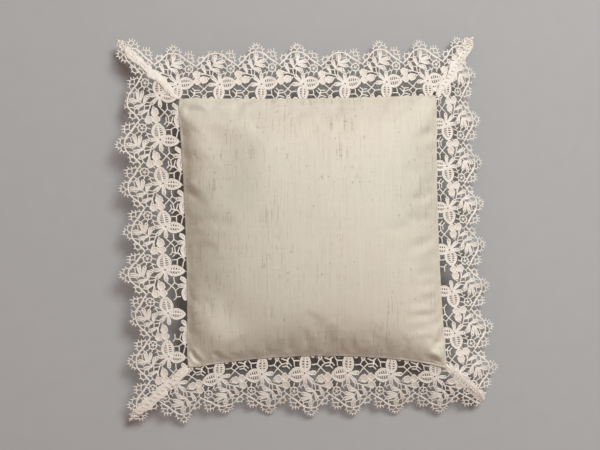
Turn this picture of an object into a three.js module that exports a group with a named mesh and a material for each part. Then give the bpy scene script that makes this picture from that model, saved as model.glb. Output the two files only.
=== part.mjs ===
// Ring bearer pillow: a stuffed square of dupioni silk with gathered lace edging on all four sides.
//
// The pillow lies on its back, with its front up. Millimetres, +Z up, +X along the width, +Y along
// the depth. The origin is under the middle of the whole outline, on the surface it rests on.
//
// From inside to outside: a loose filling, a front and a back panel of silk whose edges turn in as
// seam allowances, the plain header of each lace strip caught between the two allowances, and the
// lace itself, which leaves the seam and droops outwards. The surplus at each corner is folded
// under as a mitre and whipped down. A lockstitch (needle thread above, bobbin thread below) runs
// round the seam up to a turning gap, which is closed by hand.

import * as THREE from 'three';
import { mergeVertices } from 'three/addons/utils/BufferGeometryUtils.js';

// ---- Driving dimensions, millimetres -------------------------------------------------------

const pillowWidth = 228;      // seam to seam at the corners, along X
const pillowDepth = 238;      // seam to seam at the corners, along Y
const seamHeight = 28;        // seam line above the surface the pillow rests on
const frontCrown = 36;        // rise of the front above its folded edge
const backCrown = 35;         // fall of the back below its folded edge, before it flattens
const silkThickness = 0.5;    // dupioni with its interfacing
const seamAllowance = 15;     // turned-in edge of both panels
const laceWidth = 62;         // header edge to scallop tips, laid flat
const laceThickness = 1.2;    // raised cords and net of the lace
const laceRepeat = 39.2;      // one scallop of the edging
const scallopDepth = 11;      // tip to valley of a scallop
const mitreFoldWidth = 11;    // surplus lace folded under on each side of a corner's diagonal
const threadRadius = 0.2;
const clearance = 0.3;        // air between pieces that touch
const foldClearance = 0.8;    // air between the lace and the surplus folded under it
const fillingClearance = 1;   // air between the loose filling and the silk's facets
const fillingInset = 6;       // the filling stops this far short of the seam line
const stitchInset = 1.8;      // lockstitch line, measured in from the seam line
const openingLength = 90;     // turning gap, closed by hand
const outOfSquare = 0.023;    // lean of the cut: X lost for each millimetre of Y

// Each side, seen from above. tuck: header caught in the seam. edgeHeight: scallop tips above the
// rest surface. pull: how far the stuffing draws the middle of the seam in.
const sides = [
  { name: 'bottom', axis: 'y', sign: -1, tuck: 10, edgeHeight: 5, pull: 10 },
  { name: 'right', axis: 'x', sign: 1, tuck: 13, edgeHeight: 7, pull: 3 },
  { name: 'top', axis: 'y', sign: 1, tuck: 10, edgeHeight: 8, pull: 2 },
  { name: 'left', axis: 'x', sign: -1, tuck: 6, edgeHeight: 24, pull: 3 },
];

// ---- Sizes that follow -----------------------------------------------------------------------

const halfWidth = pillowWidth / 2;
const halfDepth = pillowDepth / 2;
const allowanceFace = laceThickness / 2 + clearance;        // allowance above or below the seam plane
const foldHeight = allowanceFace + 2 * silkThickness;       // folded edge above or below the seam plane
const crownFullness = 2.4;                                  // higher is flatter on top
const crownEdge = 0.6;                                      // lower is steeper at the seam
const dropCurve = 1.35;                                     // how the lace bends as it droops
const laceRows = [0.2, 0.4, 0.6];                           // rows between the seam and the scallops
const foldRows = [...laceRows, 0.8];                        // the folded surplus reaches the scallops

for (const side of sides) {
  side.drop = seamHeight - side.edgeHeight;
  side.reach = Math.sqrt((laceWidth - side.tuck) ** 2 - side.drop ** 2);
}
const grooveDepth = Math.max(seamAllowance, ...sides.map((side) => side.tuck)) + clearance;

// ---- Frame of the cut ------------------------------------------------------------------------

// Every point of the pillow passes through here, so the whole of it leans alike.
function placed(x, y, z) {
  return new THREE.Vector3(x - outOfSquare * y, y, z);
}

// A place on the body: across and up run from -1 to 1 between the seam lines.
function bodyPoint(across, up, z) {
  const pullX = sides[across > 0 ? 1 : 3].pull * (1 - up * up) * across * Math.abs(across);
  const pullY = sides[up > 0 ? 2 : 0].pull * (1 - across * across) * up * Math.abs(up);
  return placed(across * halfWidth - pullX, up * halfDepth - pullY, z);
}

// The share of the half size that is left after going in from the seam line.
function inFromSeam(distance) {
  return 1 - distance / Math.min(halfWidth, halfDepth);
}

// Walks the seam counter-clockwise from the lower left corner: one unit for each side.
function perimeterPlace(walk) {
  const lap = ((walk % 4) + 4) % 4;
  const along = 2 * (lap - Math.floor(lap)) - 1;
  return [[along, -1], [1, along], [-along, 1], [-1, -along]][Math.floor(lap)];
}

// Height of the silk, at a depth below its outer face. face is 1 for the front, -1 for the back.
function silkHeight(face, across, up, depth) {
  const fullness = (1 - Math.abs(across) ** crownFullness) * (1 - Math.abs(up) ** crownFullness);
  const swell = Math.max(fullness, 0) ** crownEdge;
  if (face > 0) {
    return seamHeight + foldHeight + frontCrown * swell - depth;
  }
  return Math.max(depth, seamHeight - foldHeight - backCrown * swell + depth);
}

// ---- Mesh helpers ----------------------------------------------------------------------------

// A closed surface from a function of two whole-number steps, with doubled points joined up. Each
// quad is split along the diagonal that is shorter in plan, so that two surfaces over the same
// places have the same facets and keep their distance.
function closedSurface(pointAt, stepsAlong, stepsRound) {
  const points = [];
  const splits = [];
  const rowLength = stepsRound + 1;
  for (let step = 0; step <= stepsAlong; step += 1) {
    for (let stop = 0; stop <= stepsRound; stop += 1) {
      points.push(pointAt(step, stop));
    }
  }
  for (let step = 0; step < stepsAlong; step += 1) {
    for (let stop = 0; stop < stepsRound; stop += 1) {
      const a = step * rowLength + stop;
      const [b, c, d] = [a + rowLength, a + rowLength + 1, a + 1];
      if (planDistance(points[a], points[c]) < planDistance(points[b], points[d])) {
        splits.push(a, b, c, a, c, d);
      } else {
        splits.push(a, b, d, b, c, d);
      }
    }
  }
  const surface = new THREE.BufferGeometry().setFromPoints(points).setIndex(splits);
  const joined = mergeVertices(surface, 1e-3);
  const corners = joined.index.array;
  const kept = [];
  for (let i = 0; i < corners.length; i += 3) {
    const [a, b, c] = [corners[i], corners[i + 1], corners[i + 2]];
    if (a !== b && b !== c && a !== c) {
      kept.push(a, b, c);
    }
  }
  joined.setIndex(kept);
  joined.computeVertexNormals();
  return joined;
}

function planDistance(p, q) {
  return Math.hypot(p.x - q.x, p.y - q.y);
}

// A route through chosen points, with one step of the extrusion at each point.
class Route extends THREE.Curve {
  constructor(points) {
    super();
    this.points = points;
  }

  getPoint(t, target = new THREE.Vector3()) {
    const last = this.points.length - 1;
    const index = Math.min(Math.floor(t * last), last - 1);
    return target.copy(this.points[index]).lerp(this.points[index + 1], t * last - index);
  }

  getPointAt(u, target) {
    return this.getPoint(u, target);
  }

  getTangentAt(u, target) {
    return this.getTangent(u, target);
  }
}

function threadGeometry(points) {
  const threadSides = 6;
  const section = new THREE.Shape();
  for (let i = 0; i < threadSides; i += 1) {
    const turn = (2 * Math.PI * i) / threadSides;
    const corner = [threadRadius * Math.cos(turn), threadRadius * Math.sin(turn)];
    if (i === 0) {
      section.moveTo(...corner);
    } else {
      section.lineTo(...corner);
    }
  }
  return new THREE.ExtrudeGeometry(section, {
    steps: points.length - 1,
    extrudePath: new Route(points),
    bevelEnabled: false,
  });
}

// ---- Silk panels and filling -----------------------------------------------------------------

const stepsRoundBody = 48;
const fillingRings = [0, 0.22, 0.42, 0.6, 0.75, 0.87, inFromSeam(fillingInset)];
const silkRings = [...fillingRings, inFromSeam(silkThickness), 1];

// One panel: its outer face from the middle to the fold, the allowance turned in, and its inner
// face back to the middle, carried round the outline as one closed skin.
function panelGeometry(face) {
  const allowanceEdge = inFromSeam(seamAllowance);
  const innerRings = silkRings.slice(0, -1).reverse();
  const outer = silkRings.map((ring) => ({ ring, depth: 0 }));
  const allowance = [
    { ring: 1, lift: allowanceFace },
    { ring: allowanceEdge, lift: allowanceFace },
    { ring: allowanceEdge, lift: allowanceFace + silkThickness },
    { ring: innerRings[0], lift: allowanceFace + silkThickness },
  ];
  const inner = innerRings.map((ring) => ({ ring, depth: silkThickness }));
  return ringedGeometry([...outer, ...allowance, ...inner], face, -face);
}

// The filling reaches the inner faces of both panels, with a groove for the seam allowances.
function fillingGeometry() {
  const inside = silkThickness + fillingClearance;
  const grooveFace = allowanceFace + silkThickness + clearance;
  const grooveEdge = inFromSeam(grooveDepth);
  const rim = fillingRings[fillingRings.length - 1];
  const half = fillingRings.map((ring) => ({ ring, depth: inside }));
  const groove = [{ ring: rim, lift: grooveFace }, { ring: grooveEdge, lift: grooveFace }];
  const front = [...half, ...groove].map((stop) => ({ ...stop, face: 1 }));
  const back = [...half, ...groove].reverse().map((stop) => ({ ...stop, face: -1 }));
  return ringedGeometry([...front, ...back], 1, -1);
}

// Carries a list of stops round the outline. A stop is a ring with a depth under the silk or a
// lift from the seam plane. winding turns the faces outwards.
function ringedGeometry(stops, face, winding) {
  return closedSurface((step, stop) => {
    const walk = (4 * winding * step) / stepsRoundBody;
    const [edgeAcross, edgeUp] = perimeterPlace(walk);
    const { ring, depth, lift, face: ownFace = face } = stops[stop];
    const [across, up] = [edgeAcross * ring, edgeUp * ring];
    const z = lift === undefined
      ? silkHeight(ownFace, across, up, depth)
      : seamHeight + ownFace * lift;
    return bodyPoint(across, up, z);
  }, stepsRoundBody, stops.length - 1);
}

// ---- Lace --------------------------------------------------------------------------------------

function neighbours(index) {
  return [sides[(index + 3) % 4], sides[(index + 1) % 4]];
}

// A place on the lace of one side. along runs from corner to corner, -1 to 1, counter-clockwise.
// out runs from -1 at the header's edge to 0 at the seam and 1 at the scallop tips. trim is cut
// from each end, and lower goes down from the middle of the lace's thickness.
function lacePoint(index, along, out, trim, lower) {
  const side = sides[index];
  const [before, after] = neighbours(index);
  const next = along < 0 ? before : after;
  const seamHalf = side.axis === 'y' ? halfWidth : halfDepth;
  const edgeHalf = side.axis === 'y' ? halfDepth : halfWidth;
  const spread = out > 0 ? out * next.reach : out * next.tuck;
  const outward = out > 0 ? out * side.reach : out * side.tuck;
  const alongMm = along * (seamHalf + spread - trim);
  const pull = side.pull * (1 - along * along) * (1 - Math.max(out, 0));
  const cornerDrop = (side.drop + next.drop) / 2;
  const drop = THREE.MathUtils.lerp(side.drop, cornerDrop, Math.abs(along) ** 3);
  const z = seamHeight - drop * Math.max(out, 0) ** dropCurve - lower;
  const outwardMm = side.sign * (edgeHalf + outward - pull);
  const forward = side.axis === 'y' ? -side.sign : side.sign;
  return side.axis === 'y'
    ? placed(forward * alongMm, outwardMm, z)
    : placed(outwardMm, forward * alongMm, z);
}

// A side's edge holds a whole number of scallops, with a tip at each corner.
function scallopCount(index) {
  const [before, after] = neighbours(index);
  const seamLength = sides[index].axis === 'y' ? pillowWidth : pillowDepth;
  return Math.round((seamLength + before.reach + after.reach) / laceRepeat);
}

// How far out the scalloped edge comes.
function scallopReach(index, along) {
  const fromTip = ((along + 1) / 2) * scallopCount(index);
  const toNearestTip = Math.abs(fromTip - Math.round(fromTip)) * 2;
  return 1 - (scallopDepth / sides[index].reach) * toNearestTip ** 2;
}

function laceGeometry(index) {
  const stepsAlong = 6 * scallopCount(index);
  const rows = [-1, 0, ...laceRows, 1];
  const loop = [
    ...rows.map((row) => ({ row, lower: laceThickness / 2 })),
    ...rows.slice().reverse().map((row) => ({ row, lower: -laceThickness / 2 })),
  ];
  // The first and the last step close the ends of the strip at the middle of its thickness.
  return closedSurface((step, stop) => {
    const inner = Math.min(Math.max(step - 1, 0), stepsAlong);
    const along = (2 * inner) / stepsAlong - 1;
    const closing = step === 0 || step === stepsAlong + 2;
    const { row, lower } = loop[stop % loop.length];
    const out = row === 1 ? scallopReach(index, along) : row;
    return lacePoint(index, along, out, clearance, closing ? 0 : lower);
  }, stepsAlong + 2, loop.length);
}

// A place under the corner between one side and the next, a given distance from the diagonal:
// negative on the first side, positive on the next.
function cornerPoint(index, out, fromDiagonal, lower) {
  const onNext = fromDiagonal > 0;
  const own = onNext ? (index + 1) % 4 : index;
  const side = sides[own];
  const other = sides[onNext ? index : (index + 1) % 4];
  const seamHalf = side.axis === 'y' ? halfWidth : halfDepth;
  const end = onNext ? -1 : 1;
  const along = end * (1 - Math.abs(fromDiagonal) / (seamHalf + out * other.reach));
  return lacePoint(own, along, out, 0, lower);
}

const foldTop = laceThickness / 2 + foldClearance;
const foldBottom = foldTop + laceThickness;

function mitreFoldGeometry(index) {
  const lastRow = foldRows.length - 1;
  const across = [-1, 0, 1];
  const loop = [
    ...across.map((place) => ({ place, lower: foldTop })),
    ...across.slice().reverse().map((place) => ({ place, lower: foldBottom })),
  ];
  return closedSurface((step, stop) => {
    const out = foldRows[Math.min(Math.max(step - 1, 0), lastRow)];
    const closing = step === 0 || step === lastRow + 2;
    const { place, lower } = loop[stop % loop.length];
    const depth = closing ? (foldTop + foldBottom) / 2 : lower;
    return cornerPoint(index, out, place * mitreFoldWidth, depth);
  }, lastRow + 2, loop.length);
}

// ---- Threads -----------------------------------------------------------------------------------

// The lockstitch starts and stops at the turning gap in the bottom side, and crosses the point of
// each corner with one slanting stitch.
function seamThreadPoints(face) {
  const gapShare = openingLength / pillowWidth / 2;
  const cornerShare = 0.02;
  const ring = inFromSeam(stitchInset);
  const z = seamHeight + face * (allowanceFace + silkThickness + clearance + threadRadius);
  const walks = [0.5 + gapShare];
  for (let side = 0; side < 4; side += 1) {
    const stops = side === 0 ? [0.85] : [0.2, 0.4, 0.6, 0.8];
    walks.push(...stops.map((stop) => side + stop), side + 1 - cornerShare, side + 1 + cornerShare);
  }
  walks.push(4.15, 4.5 - gapShare);
  return walks.map((walk) => {
    const [across, up] = perimeterPlace(walk);
    return bodyPoint(across * ring, up * ring, z);
  });
}

// Square zigzag stitches: pointAt gives the place for a share of the way along the seam, on either
// side of it. Each turn is a short run along the seam, so the thread never doubles back on itself.
function zigzagPoints(stitches, pointAt) {
  const turnShare = 0.35;
  const points = [];
  for (let i = 0; i <= stitches; i += 1) {
    const across = i % 2 === 0 ? -1 : 1;
    points.push(pointAt(i / (stitches + turnShare), across));
    points.push(pointAt((i + turnShare) / (stitches + turnShare), across));
  }
  return points;
}

// Slip stitches over the turning gap: each goes from the lace's underside to the back panel's skin.
function closingThreadPoints() {
  const stitches = 16;
  const onLace = 0.04;
  const onSkin = inFromSeam(1.2);
  const underLace = laceThickness / 2 + clearance + 2 * threadRadius;
  const underSkin = clearance + 4 * threadRadius;
  const gapShare = openingLength / pillowWidth;
  return zigzagPoints(stitches, (share, across) => {
    const along = gapShare * (2 * share - 1);
    if (across < 0) {
      return lacePoint(0, along, onLace, 0, underLace);
    }
    const skin = silkHeight(-1, along * onSkin, -onSkin, 0);
    return bodyPoint(along * onSkin, -onSkin, skin - underSkin);
  });
}

// Whip stitches down a corner's diagonal, under the folded surplus.
function mitreThreadPoints(index) {
  const stitches = 8;
  const firstOut = 0.2;
  const lastOut = 0.76;
  const stitchHalfWidth = mitreFoldWidth * 0.45;
  const lower = foldBottom + clearance + 2 * threadRadius;
  return zigzagPoints(stitches, (share, across) => {
    const out = THREE.MathUtils.lerp(firstOut, lastOut, share);
    return cornerPoint(index, out, across * stitchHalfWidth, lower);
  });
}

// ---- Materials and assembly ----------------------------------------------------------------------

function cloth(color, roughness) {
  return new THREE.MeshStandardMaterial({ color, roughness, metalness: 0 });
}

const ivorySilk = () => cloth(0xd9d0bc, 0.42);
const ivoryLace = () => cloth(0xdccdb8, 0.7);
const ivoryThread = () => cloth(0xd8cfbd, 0.55);
const whiteFibre = () => cloth(0xf2f0ea, 0.95);

const pillow = new THREE.Group();

function addPiece(name, geometry, material) {
  const piece = new THREE.Mesh(geometry, material);
  piece.name = name;
  pillow.add(piece);
}

addPiece('front_panel', panelGeometry(1), ivorySilk());
addPiece('back_panel', panelGeometry(-1), ivorySilk());
addPiece('filling', fillingGeometry(), whiteFibre());
sides.forEach((side, index) => {
  const cornerName = `${side.name}_${sides[(index + 1) % 4].name}`;
  addPiece(`lace_${side.name}`, laceGeometry(index), ivoryLace());
  addPiece(`mitre_fold_${cornerName}`, mitreFoldGeometry(index), ivoryLace());
  addPiece(`mitre_thread_${cornerName}`, threadGeometry(mitreThreadPoints(index)), ivoryThread());
});
addPiece('seam_needle_thread', threadGeometry(seamThreadPoints(1)), ivoryThread());
addPiece('seam_bobbin_thread', threadGeometry(seamThreadPoints(-1)), ivoryThread());
addPiece('closing_thread', threadGeometry(closingThreadPoints()), ivoryThread());

// The lace reaches further on some sides, so the outline's middle is brought over the origin.
const outline = new THREE.Box3().setFromObject(pillow);
const middle = outline.getCenter(new THREE.Vector3());
pillow.position.set(-middle.x, -middle.y, 0);
pillow.updateMatrixWorld(true);

export default pillow;
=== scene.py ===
# %% [markdown]
# # A ring bearer pillow in dupioni silk and guipure lace
#
# The real thing is sewn in an afternoon: two squares of slubbed silk, a handful of polyester
# fibre, and a wide scalloped lace caught in the seam. The measured design is loaded first, as a
# fixed frame. Every place and size below is taken from it, so nothing has to be fitted later.

# %% Load the measured design
import math

import bmesh
import bpy
import numpy as np
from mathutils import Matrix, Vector, noise


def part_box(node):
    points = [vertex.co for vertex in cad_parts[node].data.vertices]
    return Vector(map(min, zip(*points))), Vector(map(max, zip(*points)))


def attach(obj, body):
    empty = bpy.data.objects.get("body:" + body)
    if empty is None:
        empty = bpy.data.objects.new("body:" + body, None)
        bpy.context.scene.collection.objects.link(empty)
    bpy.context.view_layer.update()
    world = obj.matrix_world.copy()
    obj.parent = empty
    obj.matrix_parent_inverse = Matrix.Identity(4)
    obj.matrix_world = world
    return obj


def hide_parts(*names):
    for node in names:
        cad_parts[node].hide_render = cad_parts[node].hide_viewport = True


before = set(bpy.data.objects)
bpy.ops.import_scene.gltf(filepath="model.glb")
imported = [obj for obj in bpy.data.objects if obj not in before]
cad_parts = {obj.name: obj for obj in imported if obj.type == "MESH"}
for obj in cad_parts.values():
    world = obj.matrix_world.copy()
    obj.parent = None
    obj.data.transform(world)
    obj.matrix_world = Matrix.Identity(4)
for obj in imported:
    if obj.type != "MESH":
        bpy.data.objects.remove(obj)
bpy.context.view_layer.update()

MM = 0.001

# %% [markdown]
# The silk body is the natural reference: the lace, the folds and the stitches are all placed from
# its seam line. The seam plane lies halfway between the allowances of the two panels. The cut
# leans a little, so the body's box is wider than the seam by that lean.

# %% Find the seam line
OUT_OF_SQUARE = 0.023
front_low, front_high = (np.array(c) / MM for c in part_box("front_panel"))
back_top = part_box("back_panel")[1][2] / MM
centre = (front_low[:2] + front_high[:2]) / 2
half_depth = (front_high[1] - front_low[1]) / 2
half_width = (front_high[0] - front_low[0]) / 2 - OUT_OF_SQUARE * half_depth
seam_z = (front_low[2] + back_top) / 2
crown_top = front_high[2]
print("seam square", round(2 * half_width), "by", round(2 * half_depth), "mm")
print("seam height", round(seam_z, 1), "mm")

# %% [markdown]
# Each side of the seam has its own habits, as sewn things do. The stuffing pulls the middle of
# the seam in, more lace is caught in some seams than in others, and the free edge droops to its
# own height. The order is counter-clockwise from the bottom, seen from above.

# %% Describe the four sides
LACE_WIDTH = 62.0
DROP_CURVE = 1.35
SIDES = {
    "bottom": {"tuck": 10, "edge_height": 5, "pull": 10, "first_flower": -86.6, "repeat": 37.9},
    "right": {"tuck": 13, "edge_height": 7, "pull": 3, "first_flower": -91.2, "repeat": 36.8},
    "top": {"tuck": 10, "edge_height": 8, "pull": 2, "first_flower": -107.6, "repeat": 36.9},
    "left": {"tuck": 6, "edge_height": 24, "pull": 3, "first_flower": -119.8, "repeat": 38.0},
}
ORDER = list(SIDES)
for name, side in SIDES.items():
    level = name in ("bottom", "top")
    side["seam_half"] = half_width if level else half_depth
    side["edge_half"] = half_depth if level else half_width
    side["visible"] = LACE_WIDTH - side["tuck"]
    side["drop"] = seam_z - side["edge_height"]
    side["reach"] = math.sqrt(side["visible"] ** 2 - side["drop"] ** 2)
    print(name, "lace shows", side["visible"], "mm and reaches out", round(side["reach"], 1), "mm")


def further(name, places):
    """The name of the side that comes so many places after this one."""
    return ORDER[(ORDER.index(name) + places) % len(ORDER)]


def neighbours(name):
    """The sides before and after this one."""
    return SIDES[further(name, -1)], SIDES[further(name, 1)]


def corner_names(name):
    """The corners at the start and at the end of this side."""
    return f"{further(name, -1)}_{name}", f"{name}_{further(name, 1)}"


# %% [markdown]
# The camera looks straight down on the table, as over any flat lay. It is made early, because
# everything is judged through it. A mild telephoto keeps the square from bulging.

# %% Camera
# Lens, sensor, and how wide a view it has of the seam plane, all in mm.
LENS = 60.0
SENSOR = 36.0
VIEW_WIDTH = 527.5
# It hangs a little off the middle, in mm, and is turned by a fraction of a degree.
CAMERA_OFFSET = (-10.5, 6.0)
CAMERA_TURN = -0.67


def make_camera():
    data = bpy.data.cameras.new("flat_lay_camera")
    data.lens = LENS
    data.sensor_width = SENSOR
    data.clip_start = 0.01
    camera = bpy.data.objects.new("flat_lay_camera", data)
    bpy.context.collection.objects.link(camera)
    height = seam_z + VIEW_WIDTH * LENS / SENSOR
    camera.location = Vector((*(centre + CAMERA_OFFSET), height)) * MM
    camera.rotation_euler = (0, 0, math.radians(CAMERA_TURN))
    bpy.context.scene.camera = camera
    return camera


camera = make_camera()
print("camera height", round(camera.location.z, 3), "m")

# %% [markdown]
# ## Small helpers
# Meshes are gathered as plain arrays of points and faces, in millimetres, and scaled to metres
# only when they become Blender objects. `lean` is the out-of-square cut that everything shares.

# %% Mesh helpers
def lean(points):
    """Points of the square pillow, in mm, put where the leaning cut really has them."""
    moved = np.array(points, dtype=float)
    moved[:, 0] += centre[0] - OUT_OF_SQUARE * moved[:, 1]
    moved[:, 1] += centre[1]
    return moved


def new_piece(name, points, faces, material, smooth=True):
    mesh = bpy.data.meshes.new(name)
    mesh.from_pydata((np.asarray(points) * MM).tolist(), [], [list(map(int, f)) for f in faces])
    mesh.polygons.foreach_set("use_smooth", [smooth] * len(mesh.polygons))
    mesh.materials.append(material)
    mesh.update()
    piece = bpy.data.objects.new(name, mesh)
    bpy.context.collection.objects.link(piece)
    return piece


# Points nearer than this, in metres, coincide. A hole with more sides than this is meant.
SAME_PLACE = 1e-7
MOST_SIDES = 16


def closed_up(piece):
    """Joins points that coincide, caps every cut tube end and turns all faces outwards."""
    mesh = bmesh.new()
    mesh.from_mesh(piece.data)
    bmesh.ops.remove_doubles(mesh, verts=mesh.verts, dist=SAME_PLACE)
    bmesh.ops.holes_fill(mesh, edges=mesh.edges, sides=MOST_SIDES)
    bmesh.ops.recalc_face_normals(mesh, faces=mesh.faces)
    mesh.to_mesh(piece.data)
    mesh.free()
    return piece


def smoothstep(low, high, value):
    share = np.clip((value - low) / (high - low), 0, 1)
    return share * share * (3 - 2 * share)


def lumps(*columns):
    """Smooth noise at every point of three columns of coordinates."""
    return np.array([noise.noise(Vector(point)) for point in np.broadcast(*columns)])


def grid_faces(count):
    """Quads of a square grid of points that is stored row by row."""
    start = (np.arange(count - 1)[:, None] * count + np.arange(count - 1)[None, :]).ravel()
    return np.stack([start, start + 1, start + count + 1, start + count], axis=1)


def grid_border(count):
    """The points round a square grid, in order."""
    return [*range(count), *range(2 * count - 1, count * count, count),
            *range(count * count - 2, count * (count - 1) - 1, -1),
            *range(count * (count - 2), 0, -count)]


def tube_faces(rings, sides, closed=False):
    """Quads of a tube whose rings of points are stored one after another."""
    start = np.arange(rings if closed else rings - 1)[:, None] * sides
    after = (start + sides) % (rings * sides)
    corner = np.arange(sides)
    turned = (corner + 1) % sides
    around = [start + corner, after + corner, after + turned, start + turned]
    return np.stack(around, axis=-1).reshape(-1, 4)


# %% [markdown]
# ## Node groups that several finishes share
# Thread twist shows on the lace cords and on the sewing thread, so it is one node group with its
# own scale and depth. Groups put out only values and colours. The shader stays in each material.

# %% Node group helpers
def new_group(name, inputs, outputs):
    group = bpy.data.node_groups.new(name, "ShaderNodeTree")
    for label, kind, default in inputs:
        socket = group.interface.new_socket(label, in_out="INPUT", socket_type=kind)
        socket.default_value = default
    for label, kind in outputs:
        group.interface.new_socket(label, in_out="OUTPUT", socket_type=kind)
    return group, group.nodes.new("NodeGroupInput"), group.nodes.new("NodeGroupOutput")


def math_node(tree, operation, first, second=None):
    node = tree.nodes.new("ShaderNodeMath")
    node.operation = operation
    for socket, value in zip(node.inputs, (first, second)):
        if value is None:
            continue
        if isinstance(value, (int, float)):
            socket.default_value = value
        else:
            tree.links.new(value, socket)
    return node.outputs[0]


def multiply(tree, first, second):
    return math_node(tree, "MULTIPLY", first, second)


def object_place(tree):
    return tree.nodes.new("ShaderNodeTexCoord").outputs["Object"]


def stretched_noise(tree, scale, detail=3.0, stretch=(1, 1, 1), roughness=0.55):
    """Noise in the object's own place, drawn out along an axis by the three factors of stretch."""
    mapping = tree.nodes.new("ShaderNodeMapping")
    mapping.inputs["Scale"].default_value = stretch
    tree.links.new(object_place(tree), mapping.inputs["Vector"])
    texture = tree.nodes.new("ShaderNodeTexNoise")
    texture.inputs["Scale"].default_value = scale
    texture.inputs["Detail"].default_value = detail
    texture.inputs["Roughness"].default_value = roughness
    tree.links.new(mapping.outputs[0], texture.inputs["Vector"])
    return texture.outputs["Fac"]


def ramp(tree, value, stops):
    """A ramp of greys: stops are (position, grey)."""
    node = tree.nodes.new("ShaderNodeValToRGB")
    elements = node.color_ramp.elements
    while len(elements) < len(stops):
        elements.new(0.5)
    for element, (position, shade) in zip(elements, stops):
        element.position = position
        element.color = (shade, shade, shade, 1)
    tree.links.new(value, node.inputs[0])
    return node.outputs[0]


def mix_colour(tree, share, first, second):
    node = tree.nodes.new("ShaderNodeMix")
    node.data_type = "RGBA"
    tree.links.new(share, node.inputs[0])
    for socket, value in ((node.inputs[6], first), (node.inputs[7], second)):
        if isinstance(value, tuple):
            socket.default_value = (*value, 1)
        else:
            tree.links.new(value, socket)
    return node.outputs[2]


# %% Thread twist group
def make_twist_group():
    inputs = [("Scale", "NodeSocketFloat", 2200.0), ("Vary", "NodeSocketFloat", 0.5)]
    outputs = [("Height", "NodeSocketFloat"), ("Shade", "NodeSocketFloat")]
    group, given, made = new_group("thread_twist", inputs, outputs)
    fine = group.nodes.new("ShaderNodeTexNoise")
    fine.inputs["Detail"].default_value = 2.0
    group.links.new(object_place(group), fine.inputs["Vector"])
    group.links.new(given.outputs["Scale"], fine.inputs["Scale"])
    varied = multiply(group, stretched_noise(group, 160.0, 2.0), given.outputs["Vary"])
    group.links.new(fine.outputs["Fac"], made.inputs["Height"])
    group.links.new(varied, made.inputs["Shade"])
    return group


twist_group = make_twist_group()
print("group", twist_group.name, "with", len(twist_group.nodes), "nodes")

# %% [markdown]
# Dupioni is woven from a smooth warp and an uneven weft, spun from two cocoons that were tangled
# together. The thick places in the thread, the slubs, run right across the cloth as thin ridges
# that come and go, with the odd darker speck. The group gives five values: the ridges as a height,
# masks of the dark streaks, the pale bands and the specks, and the fine cross weave.

# %% Slub and weave group
WEAVE_PER_METRE = 9000.0
# Layers of noise drawn out along the cloth. Each has its frequency along and across the slubs, its
# detail, a shift that sets it apart from the others, and the two stops of its ramp.
SLUB_LAYERS = {
    "picks": (760.0, 60.0, 1.0, 5.0, (0.0, 0.0), (1.0, 1.0)),
    "long_streaks": (38.0, 560.0, 0.0, 9.0, (0.64, 0.0), (0.75, 1.0)),
    "short_streaks": (120.0, 560.0, 0.0, 14.0, (0.67, 0.0), (0.77, 0.85)),
    "weft_slubs": (600.0, 70.0, 0.0, 30.0, (0.7, 0.0), (0.8, 0.45)),
    "crossed": (330.0, 150.0, 1.0, 50.0, (0.36, 0.35), (0.58, 1.0)),
    "warp_bands": (14.0, 210.0, 3.0, 20.0, (0.3, 0.0), (0.7, 0.75)),
    "weft_bands": (260.0, 60.0, 2.0, 40.0, (0.35, 0.0), (0.65, 0.4)),
}


def make_slub_group():
    inputs = [("Slub length", "NodeSocketFloat", 26.0), ("Slub fineness", "NodeSocketFloat", 640.0)]
    labels = ("Height", "Streaks", "Bands", "Weave", "Specks")
    outputs = [(label, "NodeSocketFloat") for label in labels]
    group, given, made = new_group("dupioni_slubs", inputs, outputs)
    split = group.nodes.new("ShaderNodeSeparateXYZ")
    group.links.new(object_place(group), split.inputs[0])
    x, y = split.outputs["X"], split.outputs["Y"]

    def drawn_out(along, across, detail, shift, *stops):
        vector = group.nodes.new("ShaderNodeCombineXYZ")
        group.links.new(multiply(group, x, across), vector.inputs["X"])
        group.links.new(multiply(group, y, along), vector.inputs["Y"])
        vector.inputs["Z"].default_value = shift
        texture = group.nodes.new("ShaderNodeTexNoise")
        texture.inputs["Scale"].default_value = 1.0
        texture.inputs["Detail"].default_value = detail
        group.links.new(vector.outputs[0], texture.inputs["Vector"])
        return ramp(group, texture.outputs["Fac"], stops)

    layers = {name: drawn_out(*values) for name, values in SLUB_LAYERS.items()}
    ridges = drawn_out(given.outputs["Slub length"], given.outputs["Slub fineness"], 2.0, 0.0,
                       (0.4, 0.0), (0.64, 1.0))
    patchy = ramp(group, stretched_noise(group, 24.0, 1.0, (1, 0.6, 1)), [(0.42, 0.25), (0.6, 1.0)])
    streaks = math_node(group, "MAXIMUM", layers["long_streaks"], layers["short_streaks"])
    crossed = multiply(group, streaks, layers["crossed"])
    broken = math_node(group, "MAXIMUM", crossed, layers["weft_slubs"])
    weft, warp = (math_node(group, "SINE", multiply(group, axis, WEAVE_PER_METRE)) for axis in (y, x))
    specks = stretched_noise(group, 260.0, 0.0, (1.4, 0.8, 1))
    values = (math_node(group, "ADD", ridges, multiply(group, layers["picks"], 0.6)),
              multiply(group, broken, patchy),
              math_node(group, "ADD", layers["warp_bands"], layers["weft_bands"]),
              multiply(group, weft, warp),
              ramp(group, specks, [(0.79, 0.0), (0.83, 1.0)]))
    for label, value in zip(labels, values):
        group.links.new(value, made.inputs[label])
    return group


slub_group = make_slub_group()
print("group", slub_group.name, "with", len(slub_group.nodes), "nodes")

# %% [markdown]
# ## Finishes
# Silk is bright where it faces the light and turns soft and warm at grazing angles. The sheen of
# the fibre is set on the shader's own socket, and only the things that change over the cloth come
# from the slub group.

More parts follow.
